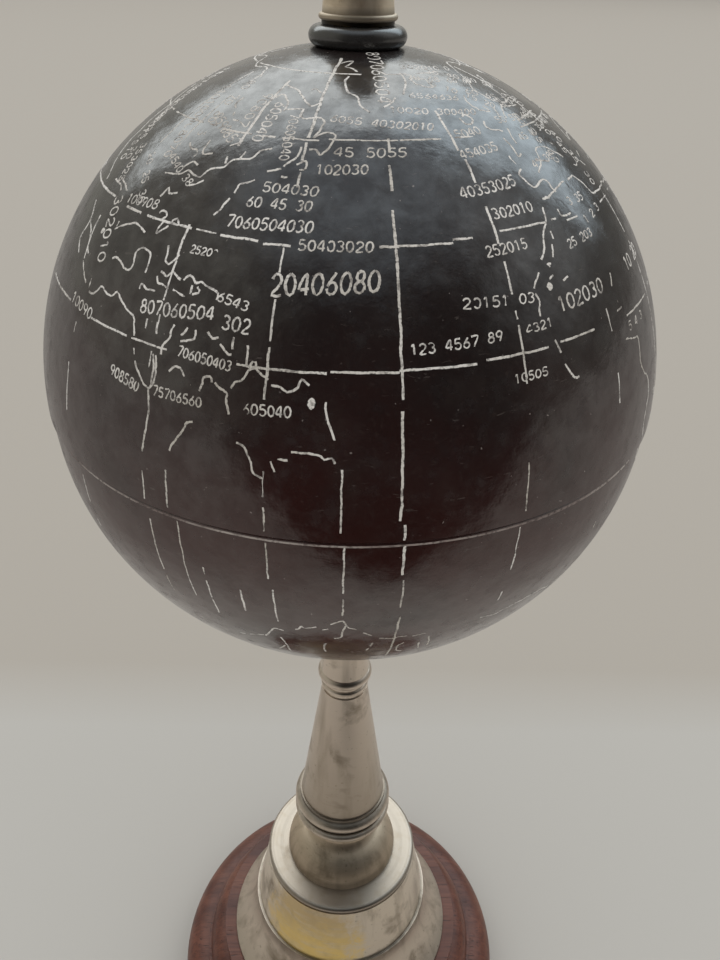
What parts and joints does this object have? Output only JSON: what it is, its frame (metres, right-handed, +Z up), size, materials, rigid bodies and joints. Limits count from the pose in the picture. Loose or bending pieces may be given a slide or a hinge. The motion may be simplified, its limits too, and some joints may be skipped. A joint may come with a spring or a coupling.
{
  "type": "terrestrial globe",
  "caption": "Desk globe: a black ball with an engraved world map spins on an upright axle over a turned metal column, drum and round wooden plinth.",
  "frame": {"origin": "middle of the underside of the plinth's felt, on the surface that the globe stands on", "axes": "+Z up along the globe's axis; -Y is the side that faces the camera, where the map's longitude 48 degrees west lies at rest"},
  "size_m": [0.12, 0.12, 0.3304],
  "materials": {
    "black_lacquer": "black lacquer with a soft shine, white-filled engraved lines",
    "gloss_black": "black lacquer, glossy",
    "nickel_plate": "satin nickel plate, tarnished and worn to the brass in places",
    "dark_nickel": "darkly tarnished nickel plate, satin",
    "mahogany": "reddish brown stain and satin varnish",
    "felt": "green felt",
    "brass": "machined",
    "steel": "zinc plated"
  },
  "bodies": {
    "stand": {"felt_pad": "felt", "wood_plinth": "mahogany", "base_skirt": "nickel_plate", "drum_wall": "nickel_plate", "drum_cap": "nickel_plate", "column_foot": "dark_nickel", "column_collar": "nickel_plate", "column_cone": "nickel_plate", "column_bead": "nickel_plate", "column_neck": "nickel_plate", "tie_rod": "steel", "rod_nut": "steel", "lock_washer": "steel", "plain_washer": "steel", "axle_sleeve": "brass", "lower_thrust_washer": "brass", "upper_thrust_washer": "brass", "finial": "nickel_plate"},
    "ball": {"ball_lower_half": "black_lacquer", "ball_upper_half": "black_lacquer", "lower_bush": "brass", "upper_bush": "brass", "lower_bead_ring": "gloss_black", "upper_bead_ring": "gloss_black"}
  },
  "joints": [
    {"name": "ball_spin", "type": "hinge", "parent": "stand", "child": "ball", "pos_m": [0, 0, 0.24258], "axis": [0, 0, 1], "continuous": true}
  ]
}
